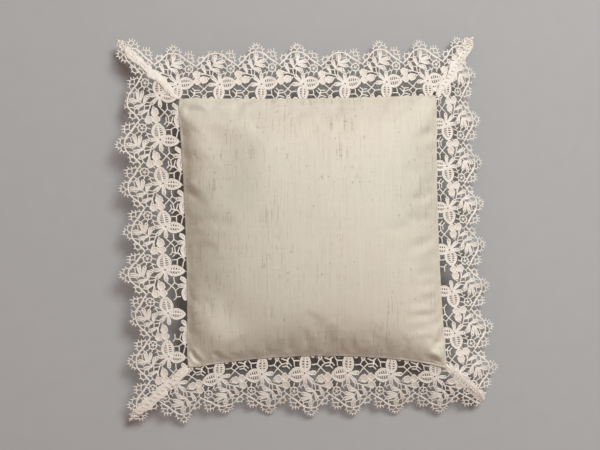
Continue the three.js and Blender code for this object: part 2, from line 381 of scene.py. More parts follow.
# %% Material helpers and silk
def new_material(name, roughness, sheen=0.0, sheen_tint=(1, 1, 1), specular=0.5):
    material = bpy.data.materials.new(name)
    material.use_nodes = True
    shader = material.node_tree.nodes["Principled BSDF"]
    shader.inputs["Roughness"].default_value = roughness
    shader.inputs["Sheen Weight"].default_value = sheen
    shader.inputs["Sheen Tint"].default_value = (*sheen_tint, 1)
    shader.inputs["Specular IOR Level"].default_value = specular
    return material, material.node_tree, shader


def place_group(tree, group, **values):
    node = tree.nodes.new("ShaderNodeGroup")
    node.node_tree = group
    for label, value in values.items():
        node.inputs[label].default_value = value
    return node


def add_bump(tree, shader, height, distance, under=None):
    bump = tree.nodes.new("ShaderNodeBump")
    bump.inputs["Distance"].default_value = distance
    tree.links.new(height, bump.inputs["Height"])
    if under is not None:
        tree.links.new(under, bump.inputs["Normal"])
    tree.links.new(bump.outputs[0], shader.inputs["Normal"])
    return bump.outputs[0]


# Colours laid over the base one by one: value of the slub group, share of it, colour.
SILK_LAYERS = [
    ("Bands", 0.3, (0.62, 0.575, 0.47)), ("Height", 0.07, (0.56, 0.49, 0.37)),
    ("Streaks", 0.54, (0.40, 0.34, 0.25)), ("Specks", 0.42, (0.34, 0.28, 0.2)),
]


def make_silk():
    material, tree, shader = new_material("ivory_dupioni", 0.45, sheen=0.15,
                                          sheen_tint=(1.0, 0.93, 0.84), specular=0.3)
    slubs = place_group(tree, slub_group).outputs
    cloudy = ramp(tree, stretched_noise(tree, 8.0), [(0.36, 0.0), (0.64, 1.0)])
    colour = mix_colour(tree, cloudy, (0.71, 0.708, 0.606), (0.755, 0.712, 0.616))
    for label, share, tint in SILK_LAYERS:
        colour = mix_colour(tree, multiply(tree, slubs[label], share), colour, tint)
    tree.links.new(colour, shader.inputs["Base Color"])
    rough = math_node(tree, "ADD", multiply(tree, slubs["Height"], 0.08), 0.42)
    tree.links.new(rough, shader.inputs["Roughness"])
    ridges = add_bump(tree, shader, slubs["Height"], 0.00005)
    add_bump(tree, shader, slubs["Weave"], 0.00003, under=ridges)
    return material


silk = make_silk()
print("finish", silk.name)

# %% [markdown]
# Guipure is embroidered in thick mercerised thread on a ground that is then dissolved. It is
# brighter than the silk where the cords stand up, and the hollows get a painted shade, darker and
# warmer. How far each point stands up is kept on the mesh, as an attribute called relief.

# %% Lace, thread and fibre
def make_lace():
    material, tree, shader = new_material("guipure_cotton", 0.62, sheen=0.2,
                                          sheen_tint=(1.0, 0.95, 0.88), specular=0.35)
    twist = place_group(tree, twist_group, Scale=2400.0, Vary=1.0)
    aged = ramp(tree, stretched_noise(tree, 14.0), [(0.35, 0.0), (0.7, 1.0)])
    unshaded_lace = mix_colour(tree, aged, (0.95, 0.93, 0.885), (0.91, 0.875, 0.81))
    # Painted shade: where the relief is low, in the hollows of the cords, the colour turns darker and
    # warmer.
    relief = tree.nodes.new("ShaderNodeAttribute")
    relief.attribute_name = "relief"
    base = mix_colour(tree, relief.outputs["Fac"], (0.66, 0.57, 0.48), unshaded_lace)
    shaded = mix_colour(tree, ramp(tree, twist.outputs["Shade"], [(0.3, 0.35), (0.6, 0.0)]),
                        base, (0.74, 0.66, 0.56))
    tree.links.new(shaded, shader.inputs["Base Color"])
    add_bump(tree, shader, twist.outputs["Height"], 0.00012)
    return material


def make_thread():
    material, tree, shader = new_material("sewing_thread", 0.5, sheen=0.15)
    twist = place_group(tree, twist_group, Scale=5200.0, Vary=1.0)
    colour = mix_colour(tree, ramp(tree, twist.outputs["Height"], [(0.4, 0.0), (0.6, 1.0)]),
                        (0.78, 0.73, 0.64), (0.92, 0.88, 0.8))
    tree.links.new(colour, shader.inputs["Base Color"])
    add_bump(tree, shader, twist.outputs["Height"], 0.00008)
    return material


def make_fibre():
    material, tree, shader = new_material("polyester_fibre", 0.9, sheen=0.5)
    strands = stretched_noise(tree, 420.0, 5.0, (1, 3, 2), 0.7)
    colour = mix_colour(tree, strands, (0.78, 0.77, 0.74), (0.95, 0.95, 0.93))
    tree.links.new(colour, shader.inputs["Base Color"])
    add_bump(tree, shader, strands, 0.0006)
    return material


lace_cotton = make_lace()
sewing_thread = make_thread()
fibre = make_fibre()
print("finishes", lace_cotton.name, sewing_thread.name, fibre.name)

# %% [markdown]
# ## The silk cushion
#
# Two squares of silk are stuffed until they crown. A crown could be modelled by hand, but the
# small puckers beside a seam come from cloth that is a little longer than the seam it is sewn to,
# and that is what cloth simulation is good at. So each panel starts as the smooth crown of the
# design, held along its seam, and is then blown up by a light pressure while its edges are
# allowed to grow by a few percent. A cap keeps every point close to the design.

# %% Outline and crown of a panel
# A higher fullness gives a flatter top, and a lower edge a steeper rise beside the seam.
CROWN_FULLNESS = 2.4
CROWN_EDGE = 0.6
# How far the back bulges, against the height of the seam. The table flattens what is too much.
BACK_BULGE = 1.25
# Half the thickness of the folded seam, and how far the corners are blunted, in mm.
FOLD_HEIGHT = 1.9
CORNER_BLUNTING = 1.6
# The bottom right corner is drawn out into an ear, this far in mm.
EAR = (1.4, -4.2)


def body_points(across, up, height):
    """Points of the body: across and up run from -1 to 1 between the seam lines."""
    pull_x = np.where(across > 0, SIDES["right"]["pull"], SIDES["left"]["pull"])
    pull_y = np.where(up > 0, SIDES["top"]["pull"], SIDES["bottom"]["pull"])
    x = across * half_width - pull_x * (1 - up * up) * across * np.abs(across)
    y = up * half_depth - pull_y * (1 - across * across) * up * np.abs(up)
    blunt = CORNER_BLUNTING * np.abs(across * up) ** 16
    x -= np.sign(across) * blunt
    y -= np.sign(up) * blunt
    ear = (np.maximum(across, 0) * np.maximum(-up, 0)) ** 9
    x += EAR[0] * ear
    y += EAR[1] * ear
    return lean(np.stack([x, y, height], axis=-1).reshape(-1, 3))


def swell(across, up):
    fullness = (1 - np.abs(across) ** CROWN_FULLNESS) * (1 - np.abs(up) ** CROWN_FULLNESS)
    return np.maximum(fullness, 0) ** CROWN_EDGE


front_crown = crown_top - seam_z - FOLD_HEIGHT
back_crown = BACK_BULGE * seam_z
print("front rises", round(front_crown, 1), "mm and the back falls", round(back_crown, 1), "mm")

# %% [markdown]
# A small sculpting step follows the simulation. Every stuffed square has a few creases of its own,
# where a seam was clipped or a corner turned. Each crease here is a soft valley along a short
# line, with a low ridge beside it, as a fold in stiff silk has.

# %% Creases of the front
# Ends of each crease in mm from the middle of the body, then depth and half-width in mm. A depth
# below zero is a rise. The last four are broad and soft.
CREASES = [
    ((-109, 107), (-72, 102), 3.2, 4.5), ((-110, 36), (-94, 31), 3.0, 3.5),
    ((-109, 40), (-101, 28), 1.6, 3.0), ((108, 87), (95, 80), 2.6, 4.0),
    ((106, 33), (84, 26), 2.4, 3.5), ((108, -7), (80, -17), 2.6, 3.5),
    ((109, -46), (90, -49), 1.4, 2.5), ((110, -58), (86, -62), 1.2, 2.2),
    ((111, -72), (84, -74), 1.3, 2.2), ((113, -84), (92, -87), 1.0, 2.0),
    ((-40, -108), (-43, -92), 1.6, 2.6), ((-22, -105), (-20, -86), 2.0, 3.0),
    ((-4, -104), (-5, -84), 1.6, 2.6), ((12, -104), (16, -88), 1.4, 2.6),
    ((34, -105), (32, -90), 1.8, 3.0), ((52, -108), (56, -94), 1.4, 2.6),
    ((-109, -103), (-96, -118), 3.0, 2.2), ((116, -92), (101, -107), 3.8, 3.0),
    ((119, -115), (99, -102), -5.4, 4.4), ((-86, -104), (-77, -115), 1.6, 2.6),
    ((108, 122), (98, 108), 2.0, 4.0), ((-60, 116), (-62, 102), 1.0, 2.4),
    ((20, 116), (22, 104), 0.9, 2.4), ((62, 118), (60, 104), 1.1, 2.4),
    ((-35, 117), (-36, 104), 0.9, 2.2), ((-8, 117), (-7, 103), 0.9, 2.4),
    ((42, 117), (41, 104), 0.8, 2.2), ((-80, 106), (90, 104), 1.4, 5.5),
    ((-113, -60), (-60, -113), -3.6, 14), ((-72, 84), (-72, 6), 3.0, 17),
    ((-104, 96), (-104, 30), -2.0, 11),
]
# Shallow wrinkles on the right flank, low down.
WRINKLE_DEPTH = 2.2


def crease_depth(x, y):
    """How far the creases lower the silk at each point, all in mm."""
    total = np.zeros_like(x)
    for (x0, y0), (x1, y1), depth, half in CREASES:
        length = math.hypot(x1 - x0, y1 - y0)
        along = ((x - x0) * (x1 - x0) + (y - y0) * (y1 - y0)) / length
        aside = ((y - y0) * (x1 - x0) - (x - x0) * (y1 - y0)) / length
        share = along / length
        fade = smoothstep(-0.12, 0.1, share) * (1 - smoothstep(0.35, 1.15, share))
        valley = np.exp(-(aside / half) ** 2) - 0.45 * np.exp(-((aside - 1.9 * half) / half) ** 2)
        total += depth * fade * (valley - 0.3 * np.exp(-((aside + 1.9 * half) / half) ** 2))
    wrinkled = smoothstep(74, 100, x) * smoothstep(-104, -84, y) * (1 - smoothstep(-60, -36, y))
    return total + WRINKLE_DEPTH * wrinkled * lumps(x * 0.035, y * 0.17, 3.0)


print(len(CREASES), "creases, up to", max(c[2] for c in CREASES), "mm deep")

# %% [markdown]
# The cloth modifier is run on a plain grid with its border pinned, and its result is read back as
# an array. The border band is allowed to grow most, which gathers it against the seam.

# %% Simulate one panel
# Stiffnesses are those of a crisp silk. A shrinkage below zero lets the cloth grow.
CLOTH = {
    "quality": 6, "mass": 0.2, "tension_stiffness": 30, "compression_stiffness": 30,
    "shear_stiffness": 8, "bending_stiffness": 0.4, "vertex_group_mass": "held",
    "use_pressure": True, "vertex_group_shrink": "loose", "shrink_min": -0.01, "shrink_max": -0.09,
}
PRESSURE = 9.0
LAST_FRAME = 26
# No point may move further than this from the design, in mm.
CAP = 7.0
# The back stays clear of the table by so many mm, before and after the simulation.
BACK_CLEARANCE = 0.4
TABLE_GAP = 0.2
# Points whose share of the way to the seam is over this lie on the seam.
BORDER = 0.9999


def simulated_panel(face, crown, across, up):
    """Points of the front (face 1) or back (face -1) after the cloth simulation, in mm."""
    height = seam_z + face * (FOLD_HEIGHT * 0.5 + crown * swell(across, up))
    if face < 0:
        height = np.maximum(height, BACK_CLEARANCE)
    start = body_points(across, up, height)
    panel = new_piece("panel_in_the_making", start, grid_faces(len(across)), silk)
    edge = np.maximum(np.abs(across), np.abs(up)).ravel()
    held = panel.vertex_groups.new(name="held")
    held.add(np.where(edge > BORDER)[0].tolist(), 1.0, "REPLACE")
    loose = panel.vertex_groups.new(name="loose")
    for index, share in enumerate(smoothstep(0.55, 0.97, edge)):
        loose.add([index], float(share), "REPLACE")
    cloth = panel.modifiers.new("cloth", "CLOTH")
    for setting, value in CLOTH.items():
        setattr(cloth.settings, setting, value)
    cloth.settings.uniform_pressure_force = PRESSURE * face
    cloth.settings.effector_weights.gravity = 0
    cloth.collision_settings.use_self_collision = False
    cloth.collision_settings.use_collision = False
    cloth.point_cache.frame_end = LAST_FRAME
    scene = bpy.context.scene
    for step in range(1, LAST_FRAME + 1):
        scene.frame_set(step)
    moved = evaluated_points(panel)[0] - start
    scene.frame_set(1)
    reach = np.linalg.norm(moved, axis=1, keepdims=True)
    moved *= np.minimum(1, CAP / np.maximum(reach, 1e-6))
    print("the", "front" if face > 0 else "back", "moved", round(float(reach.max()), 1), "mm at most")
    return start + moved


def evaluated_points(maker):
    """Points in mm and faces of an object after its modifiers. The object itself is removed."""
    mesh = maker.evaluated_get(bpy.context.evaluated_depsgraph_get()).data
    points = np.empty(len(mesh.vertices) * 3)
    mesh.vertices.foreach_get("co", points)
    polygons = [tuple(polygon.vertices) for polygon in mesh.polygons]
    bpy.data.objects.remove(maker)
    return points.reshape(-1, 3) / MM, polygons


# %% [markdown]
# The simulated faces are refined with Catmull-Clark subdivision by Blender, so that the weave sits
# on a smooth surface. The seam border then gets the turned-in allowance, and the whole panel a
# real thickness, so that it is one closed skin of cloth.

# %% Build the silk panels
SILK_THICKNESS = 0.5
ALLOWANCE = 15.0
# The turned-in allowances lie this far from the seam plane, in mm.
ALLOWANCE_FACE = 0.9
# How far in from the seam each ring of the turned-in allowance lies, in mm.
TURNED_IN = (0.0, 0.8, ALLOWANCE)
PANEL_STEPS = 97
# Grid lines bunch towards the seam: 0 would space them evenly, 1 would bunch them most.
BUNCHING = 0.93
# Creases fade out beyond this share of the way to the seam, down to a quarter of their depth.
FADE_FROM = 0.93
FADED_DEPTH = 0.25
# No rise may come higher over the crown of the design than this, in mm.
HEADROOM = 3.0


def make_panel(name, face, crown):
    quarter = math.pi / 2 * BUNCHING
    steps = np.sin(np.linspace(-1, 1, PANEL_STEPS) * quarter) / math.sin(quarter)
    across, up = np.meshgrid(steps, steps)
    skin = simulated_panel(face, crown, across, up)
    across, up = across.ravel(), up.ravel()
    edge = np.maximum(np.abs(across), np.abs(up))
    if face > 0:
        x, y = skin[:, 0] - centre[0], skin[:, 1] - centre[1]
        strength = np.maximum(1 - smoothstep(FADE_FROM, 1.0, edge), FADED_DEPTH)
        skin[:, 2] -= crease_depth(x, y) * strength
        skin[:, 2] = np.minimum(skin[:, 2], crown_top + HEADROOM)
    else:
        skin[:, 2] = np.maximum(skin[:, 2], TABLE_GAP)
    skin[edge > BORDER, 2] = seam_z + face * FOLD_HEIGHT
    rim = grid_border(PANEL_STEPS)
    level = np.full(len(rim), seam_z + face * (ALLOWANCE_FACE + SILK_THICKNESS / 2))
    rings = [skin]
    for inset in TURNED_IN:
        shrink = 1 - inset / min(half_width, half_depth)
        rings.append(body_points(across[rim] * shrink, up[rim] * shrink, level))
    faces = [grid_faces(PANEL_STEPS)]
    outer = np.array(rim)
    for place in range(len(TURNED_IN)):
        inner = len(skin) + place * len(rim) + np.arange(len(rim))
        faces.append(np.stack([outer, inner, np.roll(inner, -1), np.roll(outer, -1)], axis=1))
        outer = inner
    faces = np.vstack(faces)
    maker = new_piece("refining", np.vstack(rings), faces if face > 0 else faces[:, ::-1], silk)
    subdivision = maker.modifiers.new("subdivision", "SUBSURF")
    subdivision.levels = 1
    subdivision.boundary_smooth = "PRESERVE_CORNERS"
    panel = new_piece(name, *evaluated_points(maker), silk)
    solid = panel.modifiers.new("cloth_thickness", "SOLIDIFY")
    solid.thickness = SILK_THICKNESS * MM
    solid.offset = -1
    ready = panel.evaluated_get(bpy.context.evaluated_depsgraph_get())
    mesh = bpy.data.meshes.new_from_object(ready)
    panel.modifiers.clear()
    panel.data = mesh
    return panel


silk_front = make_panel("silk_front", 1, front_crown)
silk_back = make_panel("silk_back", -1, back_crown)
print("silk faces:", len(silk_front.data.polygons), "and", len(silk_back.data.polygons))

# %% [markdown]
# The filling never shows, but the silk rests on it, so it is made as what it is: a lumpy body of
# loose fibre a little smaller than the cover. Its lumps are smooth noise in the height of its front.

# %% Filling
FILLING_STEPS = 41
# The filling ends at the first share of the way to the seam, and would be flat at the second.
FILLING_SHARE = 0.94
FILLING_END = 0.945
# It lies this far under the silk and over the table, in mm.
FILLING_GAP = 4.5
FILLING_FLOOR = 1.6
LUMP_HEIGHT = 1.6
LUMPS_PER_MM = 0.06


def make_filling():
    steps = np.linspace(-FILLING_SHARE, FILLING_SHARE, FILLING_STEPS)
    across, up = np.meshgrid(steps, steps)
    room = swell(across / FILLING_END, up / FILLING_END)
    halves = []
    for face, crown in ((1, front_crown), (-1, back_crown)):
        height = seam_z + face * (1.0 + (crown - FILLING_GAP) * room)
        halves.append(body_points(across, up, np.maximum(height, FILLING_FLOOR)))
    front, back = halves
    front[:, 2] -= LUMP_HEIGHT * (0.5 + 0.5 * lumps(*(front * LUMPS_PER_MM).T))
    rim = np.array(grid_border(FILLING_STEPS))
    after = np.roll(rim, -1)
    walls = np.stack([rim, rim + len(front), after + len(front), after], axis=1)
    sheet = grid_faces(FILLING_STEPS)
    faces = np.vstack([sheet, sheet[:, ::-1] + len(front), walls])
    return new_piece("fibre_filling", np.vstack([front, back]), faces, fibre)


filling = make_filling()
print("filling faces:", len(filling.data.polygons))

# %% [markdown]
# ## The lace
#
# Guipure lace is stitched, so its picture is made of thread: raised cords round every petal, fine
# bars between them, little spikes, called picots, along the edge. It could be a flat plane with
# holes in its material, but then the cords would have no thickness and would not catch the light.
# Here one repeat of the pattern is drawn as real cords and pads, and copied along each side.
#
# The pattern is drawn in millimetres round the middle of its main flower: x runs along the edge
# and y runs in towards the seam. A cord is a flattened tube through a few listed points, and
# Catmull-Rom smoothing rounds the route between them.

# %% Cord and pad makers
class Pattern:
    """Gathers the points and faces of one repeat."""

    def __init__(self):
        self.points = []
        self.faces = []
        self.count = 0

    def add(self, points, faces):
        self.points.append(np.asarray(points, dtype=float))
        self.faces.append(np.asarray(faces, dtype=int) + self.count)
        self.count += len(points)

    def arrays(self):
        return np.vstack(self.points), np.vstack(self.faces)


FEW = 4


def smoothed(points, closed=False, step=None):
    """Catmull-Rom through the points, with one every step mm, or a few to each stretch."""
    points = np.asarray(points, dtype=float)
    if closed:
        points = np.vstack([points[-1], points, points[0], points[1]])
    else:
        points = np.vstack([2 * points[0] - points[1], points, 2 * points[-1] - points[-2]])
    route = []
    for before, here, there, after in zip(points, points[1:], points[2:], points[3:]):
        pieces = max(1, round(np.linalg.norm(there - here) / step)) if step else FEW
        for t in np.arange(pieces) / pieces:
            route.append(0.5 * (2 * here + (there - before) * t
                                + (2 * before - 5 * here + 4 * there - after) * t * t
                                + (3 * here - before - 3 * there + after) * t ** 3))
    if not closed:
        route.append(points[-2])
    return np.array(route)


CORD_SIDES = 6
CORD_CAPS = ((0, 1, 2, 3), (0, 3, 4, 5))


def cord(pattern, points, width=1.0, height=None, closed=False, ends=(1.0, 1.0), step=1.25):
    """A flattened tube. ends are the shares of the width at its two ends."""
    route = smoothed(points, closed, step)
    count = len(route)
    if closed:
        tangent = np.roll(route, -1, axis=0) - np.roll(route, 1, axis=0)
    else:
        tangent = np.gradient(route, axis=0)
    tangent /= np.maximum(np.linalg.norm(tangent, axis=1, keepdims=True), 1e-9)
    side = np.stack([-tangent[:, 1], tangent[:, 0]], axis=1)
    height = height or min(0.95, 0.5 + 0.4 * width)
    taper = np.linspace(*ends, count)
    turn = 2 * math.pi * (np.arange(CORD_SIDES) + 0.5) / CORD_SIDES
    across = taper[:, None] * (width / 2) * np.cos(turn)
    flat = route[:, None, :] + side[:, None, :] * across[:, :, None]
    tall = np.broadcast_to((height / 2) * np.sin(turn), (count, CORD_SIDES))
    faces = tube_faces(count, CORD_SIDES, closed)
    if not closed:
        last = (count - 1) * CORD_SIDES + np.flip(CORD_CAPS, axis=1)
        faces = np.vstack([faces, CORD_CAPS, last])
    pattern.add(np.concatenate([flat, tall[:, :, None]], axis=2).reshape(-1, 3), faces)


PAD_SIDES = 14
LOBE_DEPTH = 0.09
# Share of the radius and level of each ring of a pad, from the middle of its top to its back.
PAD_PROFILE = [(0.0, 0.5), (0.3, 0.34), (0.66, 0.3), (0.8, 1.1), (0.94, 0.95), (1.0, 0.1),
               (0.9, -0.5), (0.0, -0.5)]


def pad(pattern, middle, radius, lobes=0):
    """A small filled disc with a raised rim, like the padded satin stitch of a berry or a lobe."""
    turn = 2 * math.pi * np.arange(PAD_SIDES) / PAD_SIDES
    rim = radius * (1 + LOBE_DEPTH * np.cos(lobes * turn) * (lobes > 0))
    rings = [np.stack([middle[0] + share * rim * np.cos(turn), middle[1] + share * rim * np.sin(turn),
                       np.full(PAD_SIDES, 0.5 * level)], axis=1) for share, level in PAD_PROFILE]
    pattern.add(np.vstack(rings), tube_faces(len(rings), PAD_SIDES))


# %% [markdown]
# A large petal is an outline cord, a broad rib down its middle, and between them a ladder of short
# bars whose gaps are the rows of pinholes that give this lace its look. A leaf is the same idea at
# a smaller size: a teardrop loop whose only gap is an eyelet near the tip.

# %% Petals and leaves
# From bar to bar of a petal's ladder, in mm.
LADDER_GAP = 1.95
# Together these two give a petal its outline: blunt at the tip, and broadest past the middle.
PETAL_ROUNDNESS = 0.8
PETAL_BLUNTNESS = 0.62
# A step longer than any short bar, so that a straight bar gets no points in between.
STRAIGHT = 3.0


def lie_of(base, tip):
    """A petal's base, its axis from base to tip, and the unit vector across it."""
    base = np.array(base, float)
    axis = np.array(tip, float) - base
    return base, axis, np.array([-axis[1], axis[0]]) / np.linalg.norm(axis)


def petal(pattern, base, tip, half_width):
    base, axis, aside = lie_of(base, tip)

    def half_at(share):
        return half_width * math.sin(math.pi * share ** PETAL_ROUNDNESS) ** PETAL_BLUNTNESS

    def outline(inset, stations):
        left = [base + axis * t + aside * max(half_at(t) - inset, 0.1) for t in stations]
        right = [base + axis * t - aside * max(half_at(t) - inset, 0.1) for t in reversed(stations)]
        return left + right

    def rib(end, width, height, ends):
        cord(pattern, [base, base + axis * 0.35, base + axis * end], width, height, ends=ends)

    cord(pattern, outline(0.55, [0.06, 0.2, 0.38, 0.56, 0.74, 0.88, 0.965]), 1.2, 1.15, closed=True)
    cord(pattern, outline(1.75, [0.16, 0.36, 0.56, 0.74, 0.87]), 2.3, 0.62, closed=True)
    rib(0.76, 2.0, 1.1, (0.8, 0.6))
    rib(0.8, 3.9, 0.6, (0.6, 0.7))
    for t in np.arange(0.16, 0.84, LADDER_GAP / np.linalg.norm(axis)):
        for sign in (1, -1):
            end = base + axis * (t + 0.04) + sign * aside * max(half_at(t) - 1.6, 0.5)
            cord(pattern, [base + axis * t, end], 1.15, 0.6, step=STRAIGHT)


def leaf(pattern, base, tip, half_width=1.75):
    base, axis, aside = lie_of(base, tip)
    half = half_width - 0.5
    widths = ((0.0, 0.3), (0.3, 0.62), (0.62, 1.0), (0.88, 0.8))
    left = [base + axis * t + aside * half * w for t, w in widths]
    right = [base + axis * t - aside * half * w for t, w in reversed(widths)]
    cord(pattern, [*left, base + axis * 0.99, *right], 1.45, 1.05, closed=True)
    cord(pattern, [base, base + axis * 0.42, base + axis * 0.8], 1.8, 0.75, ends=(0.7, 0.8))


# %% [markdown]
# Now the pattern itself: the flower with two broad petals and three slender ones, the trefoil and
# the sprig of leaves beside it, the ring with its star, the scallop arc, the picots below it, and
# the open net that reaches up to the seam with the half flower that the seam covers.

# %% Draw one repeat
SIX_TURNS = np.linspace(0, 2 * math.pi, 7)[:-1]
TEN_TURNS = np.linspace(0, 2 * math.pi, 11)[:-1]


def around(middle, radius, turns):
    """Points round a middle. The radius may differ along x and y."""
    wide, tall = np.broadcast_to(radius, 2)
    return [(middle[0] + wide * math.cos(t), middle[1] + tall * math.sin(t)) for t in turns]


def draw_flower(pattern):
    petal(pattern, (-0.6, -0.5), (-15.1, -2.1), 6.1)
    petal(pattern, (0.3, 1.0), (1.4, 15.1), 5.4)
    for tip in ((10.6, 0.3), (8.2, -8.1), (0.0, -9.7)):
        start = np.array(tip) / np.linalg.norm(tip) * 1.6 + (0.2, -0.2)
        leaf(pattern, start, tip, 1.8)
    cord(pattern, around((0, 0), (1.5, 1.4), SIX_TURNS), 1.3, 1.2, closed=True)


def draw_trefoil(pattern):
    for middle, lobes in (((14.8, -4.3), 5), ((20.9, -3.1), 4), ((21.7, -9.3), 5)):
        pad(pattern, middle, 3.65, lobes=lobes)
    cord(pattern, around((19.2, -5.9), 1.3, SIX_TURNS), 1.1, 1.3, closed=True)
    cord(pattern, [(10.0, -6.0), (13.0, -6.9), (16.4, -6.3), (18.2, -6.2), (19.2, -7.8)])
    cord(pattern, [(8.6, -8.0), (12.0, -9.3), (16.0, -9.6), (18.8, -9.0)])


def draw_sprig(pattern):
    stem = [(8.6, -8.2), (9.3, -11.0), (9.2, -13.4), (8.4, -15.0), (6.2, -17.8), (5.3, -20.2)]
    cord(pattern, stem, 1.2)
    cord(pattern, [(9.0, -8.4), (11.4, -8.9), (13.2, -10.4), (13.6, -12.2)], 1.1)
    for base, tip in (((7.9, -14.4), (0.3, -12.9)), ((5.2, -18.0), (-3.7, -16.3)),
                      ((5.0, -19.8), (-5.0, -21.9)), ((5.2, -20.2), (3.6, -28.0)),
                      ((8.6, -15.4), (11.2, -23.2))):
        leaf(pattern, base, tip)
    leaf(pattern, (13.2, -10.8), (16.8, -18.7), 1.8)


def draw_ring(pattern):
    middle = (-10.3, -14.6)
    cord(pattern, around(middle, 3.55, TEN_TURNS), 1.35, closed=True)
    pad(pattern, middle, 1.15)
    for end in around(middle, 3.4, np.radians([80, 150, 222, 294, 8])):
        cord(pattern, [middle, end], 0.75, step=STRAIGHT)


# Width and height of a plain bar, in mm.
BAR = (1.1, 0.85)


def draw_scallop(pattern):
    arc = [(-16.4, -17.6), (-14.0, -19.4), (-12.0, -21.0), (-7.5, -23.9), (-4.0, -27.4), (0.0, -29.3),
           (5.0, -30.0), (9.2, -29.0), (12.2, -26.9), (16.0, -22.4), (19.6, -18.9), (22.8, -16.9)]
    cord(pattern, arc, 1.6, 1.15)
    cord(pattern, [(-12.6, -20.0), (-8.3, -22.6), (-4.4, -26.2), (0.0, -28.0)], *BAR)


def draw_picots(pattern):
    loops = [
        [(-14.0, -20.6), (-14.3, -23.0), (-13.2, -25.2), (-13.2, -28.2), (-11.2, -29.4), (-9.4, -28.8),
         (-9.5, -25.6), (-8.2, -24.4)],
        [(-9.5, -28.6), (-7.2, -29.5), (-5.0, -27.8)], [(-13.2, -25.2), (-11.2, -25.0), (-9.5, -25.6)],
        [(-1.7, -29.4), (-1.2, -32.4), (1.0, -33.6), (2.8, -33.6), (2.3, -35.4), (4.2, -36.4),
         (6.2, -36.2), (7.2, -34.6), (6.6, -33.2), (9.2, -32.8), (10.2, -30.6), (10.1, -28.8)],
        [(5.0, -30.0), (4.8, -31.6), (2.8, -33.6)], [(4.8, -31.6), (6.6, -33.2)],
        [(13.0, -25.6), (15.6, -26.0), (19.2, -25.2), (20.4, -22.8), (19.4, -19.2)],
        [(15.4, -23.2), (16.0, -25.8)], [(17.8, -20.8), (19.8, -21.6)],
    ]
    for loop in loops:
        cord(pattern, loop, 1.2, 0.95)
    spikes = [
        ((-14.2, -22.2), (-16.2, -21.6)), ((-13.6, -24.8), (-15.6, -25.6)),
        ((-13.3, -27.6), (-15.4, -28.6)), ((-12.2, -29.0), (-12.3, -32.6)),
        ((-9.6, -29.2), (-9.4, -32.4)), ((-7.0, -29.3), (-6.9, -32.0)),
        ((-1.4, -31.2), (-3.4, -32.6)), ((-0.8, -33.0), (-0.9, -35.7)), ((2.2, -35.2), (0.8, -37.4)),
        ((3.9, -36.2), (3.7, -38.7)), ((6.2, -36.0), (6.7, -38.7)), ((7.2, -34.8), (9.0, -35.9)),
        ((9.3, -32.9), (11.1, -34.5)), ((10.2, -30.9), (12.2, -31.4)), ((15.8, -25.9), (15.2, -27.9)),
        ((18.9, -25.3), (19.9, -27.1)), ((20.3, -22.9), (22.3, -23.4)),
    ]
    for root, tip in spikes:
        cord(pattern, [root, tip], *BAR, ends=(1.1, 0.9), step=STRAIGHT)


def draw_bars(pattern):
    bars = [
        [(-13.6, -5.4), (-15.3, -7.2), (-14.9, -9.8), (-13.0, -12.2)],
        [(-9.6, -7.4), (-10.4, -9.6), (-10.9, -11.2)],
        [(-4.6, -7.3), (-5.4, -9.6), (-6.6, -11.8)], [(-5.4, -9.6), (-4.2, -11.2), (-3.3, -12.6)],
        [(-4.4, -10.8), (-2.0, -9.4), (-0.6, -9.6)], [(0.6, -9.8), (1.4, -11.4), (2.6, -12.6)],
        [(-0.4, -9.8), (-0.2, -11.6), (0.6, -12.6)], [(-6.8, -15.0), (-5.0, -15.2), (-3.4, -16.4)],
        [(-7.6, -17.2), (-5.8, -19.4), (-5.0, -21.2)], [(-11.2, -18.2), (-11.4, -19.8), (-11.6, -21.0)],
        [(-13.4, -16.6), (-14.8, -18.0)], [(-4.8, -22.2), (-5.9, -23.4), (-6.0, -25.0)],
        [(-3.2, -22.4), (-1.6, -24.8), (0.6, -24.2), (2.8, -24.0)], [(-2.0, -24.8), (-3.0, -27.2)],
        [(3.4, -27.8), (3.0, -29.6)], [(5.0, -27.6), (5.8, -29.8)],
        [(6.4, -21.4), (7.4, -23.8), (9.4, -22.6)],
        [(7.2, -23.6), (6.2, -27.6), (7.6, -29.4)], [(11.2, -23.0), (10.6, -26.0), (10.8, -28.0)],
        [(10.8, -20.4), (13.4, -22.4), (16.2, -21.6)], [(10.2, -17.4), (12.0, -18.6), (14.6, -18.2)],
        [(12.2, -18.6), (11.6, -20.4)], [(16.6, -18.8), (17.4, -20.6)],
        [(17.4, -15.6), (20.0, -14.9), (21.0, -12.6)],
        [(20.2, -15.0), (21.8, -16.8)], [(13.4, -10.2), (17.0, -10.4), (19.4, -11.8)],
        [(11.6, -2.8), (10.8, -4.8), (9.0, -6.2)],
        [(5.4, -4.8), (6.6, -9.6), (6.0, -12.8), (7.2, -14.4)],
        [(1.6, -9.4), (3.6, -11.6), (5.4, -12.2)], [(9.2, -13.6), (11.6, -13.4), (14.0, -14.4)],
    ]
    for bar in bars:
        cord(pattern, bar, *BAR, step=1.8)


